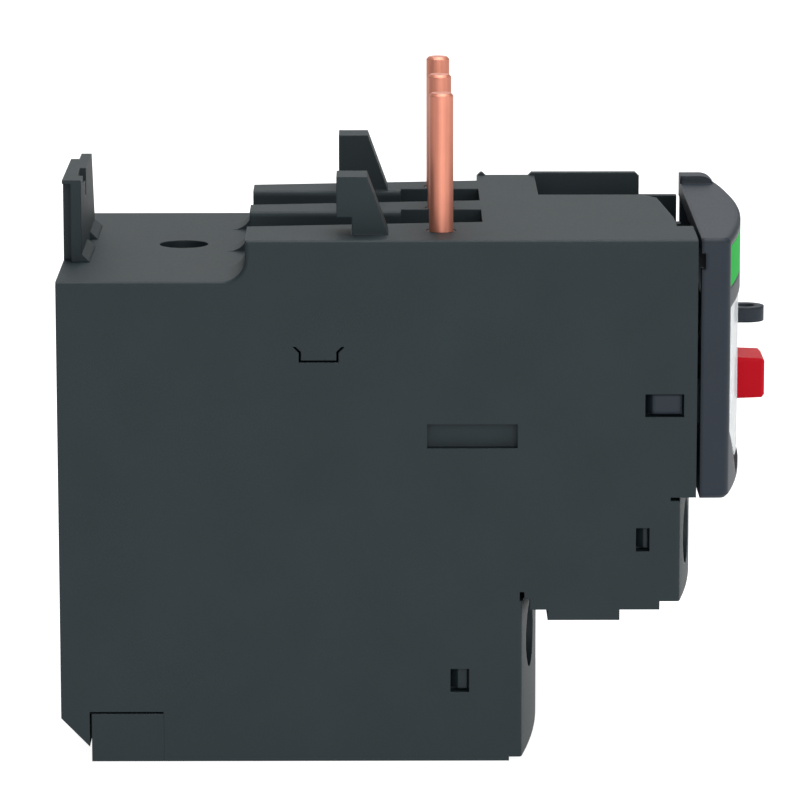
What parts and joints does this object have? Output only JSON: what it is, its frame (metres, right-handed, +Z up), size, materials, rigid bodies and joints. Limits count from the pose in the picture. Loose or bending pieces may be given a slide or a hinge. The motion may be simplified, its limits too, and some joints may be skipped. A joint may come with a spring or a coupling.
{
  "type": "thermal overload relay",
  "caption": "Motor overload relay with plug-in pins, contactor hooks, screw clamps for load and control wires, setting dial, reset and stop buttons under a clear flap.",
  "frame": {"origin": "middle of the bounding box's underside, at the level of the base plate's bottom face", "axes": "+X to the relay's right as seen from the front, +Y from the front cover to the back, +Z up along the contact pins"},
  "size_m": [0.045, 0.0716, 0.0659],
  "materials": {
    "housing_plastic": "fine moulded grain",
    "cover_plastic": "fine moulded grain",
    "block_plastic": "fine moulded grain",
    "inner_plastic": "moulded",
    "label_green": "smooth printed film",
    "face_white": "smooth",
    "flap_clear": "clear moulded plastic",
    "red_plastic": "satin moulded",
    "blue_plastic": "satin moulded",
    "copper": "drawn bare copper",
    "plated_steel": "zinc plated",
    "tinned_bar": "tinned",
    "bimetal": "rolled strip",
    "heater_wire": "resistance wire",
    "contact_silver": "silvered"
  },
  "bodies": {
    "casing": {"housing": "housing_plastic", "rear_tab": "housing_plastic", "base_plate": "housing_plastic", "power_terminal_block": "block_plastic", "control_terminal_block": "block_plastic", "mechanism_frame": "inner_plastic", "front_cover": "cover_plastic", "face_plate": "face_white", "label_plate": "label_green", "stop_spring": "plated_steel", "reset_spring": "plated_steel", "test_spring": "plated_steel", "contact_pin_1": "copper", "contact_pin_2": "copper", "contact_pin_3": "copper", "load_bar_1": "tinned_bar", "load_bar_2": "tinned_bar", "load_bar_3": "tinned_bar", "control_bar_1": "tinned_bar", "control_bar_2": "tinned_bar", "control_bar_3": "tinned_bar", "control_bar_4": "tinned_bar"},
    "flap": {"clear_flap": "flap_clear"},
    "dial": {"setting_dial": "face_white", "setting_cam": "inner_plastic"},
    "setting": {"setting_slide": "inner_plastic"},
    "trip": {"trip_lever": "inner_plastic", "compensating_strip": "bimetal"},
    "carrier": {"contact_carrier": "inner_plastic", "contact_bridges": "contact_silver", "trip_flag": "face_white"},
    "lower": {"lower_slide": "inner_plastic"},
    "upper": {"upper_slide": "inner_plastic"},
    "differential": {"differential_lever": "inner_plastic"},
    "stop": {"stop_button": "red_plastic"},
    "reset": {"reset_button": "blue_plastic"},
    "selector": {"reset_selector": "cover_plastic"},
    "test": {"test_rod": "face_white"},
    "strip_1": {"bimetal_1": "bimetal", "heater_1": "heater_wire"},
    "strip_2": {"bimetal_2": "bimetal", "heater_2": "heater_wire"},
    "strip_3": {"bimetal_3": "bimetal", "heater_3": "heater_wire"},
    "power_screw_1": {"power_screw_1": "plated_steel"},
    "power_cage_1": {"power_cage_1": "plated_steel"},
    "power_screw_2": {"power_screw_2": "plated_steel"},
    "power_cage_2": {"power_cage_2": "plated_steel"},
    "power_screw_3": {"power_screw_3": "plated_steel"},
    "power_cage_3": {"power_cage_3": "plated_steel"},
    "control_screw_1": {"control_screw_1": "plated_steel"},
    "control_cage_1": {"control_cage_1": "plated_steel"},
    "control_screw_2": {"control_screw_2": "plated_steel"},
    "control_cage_2": {"control_cage_2": "plated_steel"},
    "control_screw_3": {"control_screw_3": "plated_steel"},
    "control_cage_3": {"control_cage_3": "plated_steel"},
    "control_screw_4": {"control_screw_4": "plated_steel"},
    "control_cage_4": {"control_cage_4": "plated_steel"}
  },
  "joints": [
    {"name": "flap_hinge", "type": "hinge", "parent": "casing", "child": "flap", "pos_m": [0, -0.03095, 0.0293], "axis": [1, 0, 0], "range_deg": [0, 95]},
    {"name": "dial_turn", "type": "hinge", "parent": "casing", "child": "dial", "pos_m": [-0.0105, -0.02425, 0.037], "axis": [0, -1, 0], "range_deg": [-135, 135]},
    {"name": "setting_shift", "type": "slide", "parent": "casing", "child": "setting", "axis": [1, 0, 0], "range_m": [-0.0004, 0.0004]},
    {"name": "stop_press", "type": "slide", "parent": "casing", "child": "stop", "axis": [0, 1, 0], "range_m": [0, 0.0025], "stiffness_N_per_m": 250, "springref_m": -0.001, "deforming": ["stop_spring"]},
    {"name": "reset_press", "type": "slide", "parent": "casing", "child": "reset", "axis": [0, 1, 0], "range_m": [0, 0.0028], "stiffness_N_per_m": 200, "springref_m": -0.001, "deforming": ["reset_spring"]},
    {"name": "test_press", "type": "slide", "parent": "casing", "child": "test", "axis": [0, 1, 0], "range_m": [0, 0.0016], "stiffness_N_per_m": 150, "springref_m": -0.001, "deforming": ["test_spring"]},
    {"name": "selector_turn", "type": "hinge", "parent": "casing", "child": "selector", "pos_m": [0.011, -0.02925, 0.0398], "axis": [0, -1, 0], "range_deg": [-90, 0]},
    {"name": "strip_bend_1", "type": "hinge", "parent": "casing", "child": "strip_1", "pos_m": [-0.016, 0.01525, 0.0065], "axis": [0, 1, 0], "range_deg": [0, 4], "stiffness_Nm_per_rad": 0.5},
    {"name": "strip_bend_2", "type": "hinge", "parent": "casing", "child": "strip_2", "pos_m": [-0.0012, 0.01525, 0.0065], "axis": [0, 1, 0], "range_deg": [0, 4]},
    {"name": "strip_bend_3", "type": "hinge", "parent": "casing", "child": "strip_3", "pos_m": [0.0136, 0.01525, 0.0065], "axis": [0, 1, 0], "range_deg": [0, 4]},
    {"name": "lower_shift", "type": "slide", "parent": "casing", "child": "lower", "axis": [1, 0, 0], "range_m": [0, 0.0021]},
    {"name": "upper_shift", "type": "slide", "parent": "casing", "child": "upper", "axis": [1, 0, 0], "range_m": [0, 0.0023]},
    {"name": "differential_tilt", "type": "hinge", "parent": "lower", "child": "differential", "pos_m": [0.0152, 0.011, 0.0355], "axis": [0, 1, 0], "range_deg": [0, 4.1]},
    {"name": "trip_swing", "type": "hinge", "parent": "setting", "child": "trip", "pos_m": [0.0172, -0.00225, 0.0418], "axis": [0, 0, -1], "range_deg": [0, 10.8]},
    {"name": "carrier_shift", "type": "slide", "parent": "casing", "child": "carrier", "axis": [-1, 0, 0], "range_m": [0, 0.002]},
    {"name": "power_screw_turn_1", "type": "hinge", "parent": "casing", "child": "power_screw_1", "pos_m": [-0.016, -0.00725, 0.0115], "axis": [0, 1, 0], "range_deg": [0, 1080]},
    {"name": "power_clamp_1", "type": "slide", "parent": "casing", "child": "power_cage_1", "axis": [0, -1, 0], "range_m": [0, 0.0024]},
    {"name": "power_screw_turn_2", "type": "hinge", "parent": "casing", "child": "power_screw_2", "pos_m": [-0.0012, -0.00725, 0.0115], "axis": [0, 1, 0], "range_deg": [0, 1080]},
    {"name": "power_clamp_2", "type": "slide", "parent": "casing", "child": "power_cage_2", "axis": [0, -1, 0], "range_m": [0, 0.0024]},
    {"name": "power_screw_turn_3", "type": "hinge", "parent": "casing", "child": "power_screw_3", "pos_m": [0.0136, -0.00725, 0.0115], "axis": [0, 1, 0], "range_deg": [0, 1080]},
    {"name": "power_clamp_3", "type": "slide", "parent": "casing", "child": "power_cage_3", "axis": [0, -1, 0], "range_m": [0, 0.0024]},
    {"name": "control_screw_turn_1", "type": "hinge", "parent": "casing", "child": "control_screw_1", "pos_m": [-0.0162, -0.02225, 0.02205], "axis": [0, 1, 0], "range_deg": [0, 1080]},
    {"name": "control_clamp_1", "type": "slide", "parent": "casing", "child": "control_cage_1", "axis": [0, -1, 0], "range_m": [0, 0.0018]},
    {"name": "control_screw_turn_2", "type": "hinge", "parent": "casing", "child": "control_screw_2", "pos_m": [-0.0054, -0.02225, 0.02205], "axis": [0, 1, 0], "range_deg": [0, 1080]},
    {"name": "control_clamp_2", "type": "slide", "parent": "casing", "child": "control_cage_2", "axis": [0, -1, 0], "range_m": [0, 0.0018]},
    {"name": "control_screw_turn_3", "type": "hinge", "parent": "casing", "child": "control_screw_3", "pos_m": [0.0054, -0.02225, 0.02205], "axis": [0, 1, 0], "range_deg": [0, 1080]},
    {"name": "control_clamp_3", "type": "slide", "parent": "casing", "child": "control_cage_3", "axis": [0, -1, 0], "range_m": [0, 0.0018]},
    {"name": "control_screw_turn_4", "type": "hinge", "parent": "casing", "child": "control_screw_4", "pos_m": [0.0162, -0.02225, 0.02205], "axis": [0, 1, 0], "range_deg": [0, 1080]},
    {"name": "control_clamp_4", "type": "slide", "parent": "casing", "child": "control_cage_4", "axis": [0, -1, 0], "range_m": [0, 0.0018]}
  ],
  "couplings": [
    {"joint": "dial_turn", "follows": "setting_shift", "rad_per_m": 5890.5},
    {"joint": "strip_bend_2", "follows": "strip_bend_1", "ratio": 1},
    {"joint": "strip_bend_3", "follows": "strip_bend_1", "ratio": 1},
    {"joint": "lower_shift", "follows": "strip_bend_1", "m_per_rad": 0.029},
    {"joint": "upper_shift", "follows": "strip_bend_1", "m_per_rad": 0.0326},
    {"joint": "differential_tilt", "follows": "strip_bend_1", "ratio": 1},
    {"joint": "trip_swing", "follows": "strip_bend_1", "ratio": 2.6692},
    {"joint": "carrier_shift", "follows": "strip_bend_1", "m_per_rad": 0.0283},
    {"joint": "power_screw_turn_1", "follows": "power_clamp_1", "rad_per_m": 7853.9},
    {"joint": "power_screw_turn_2", "follows": "power_clamp_2", "rad_per_m": 7853.9},
    {"joint": "power_screw_turn_3", "follows": "power_clamp_3", "rad_per_m": 7853.9},
    {"joint": "control_screw_turn_1", "follows": "control_clamp_1", "rad_per_m": 10472},
    {"joint": "control_screw_turn_2", "follows": "control_clamp_2", "rad_per_m": 10472},
    {"joint": "control_screw_turn_3", "follows": "control_clamp_3", "rad_per_m": 10472},
    {"joint": "control_screw_turn_4", "follows": "control_clamp_4", "rad_per_m": 10472}
  ]
}
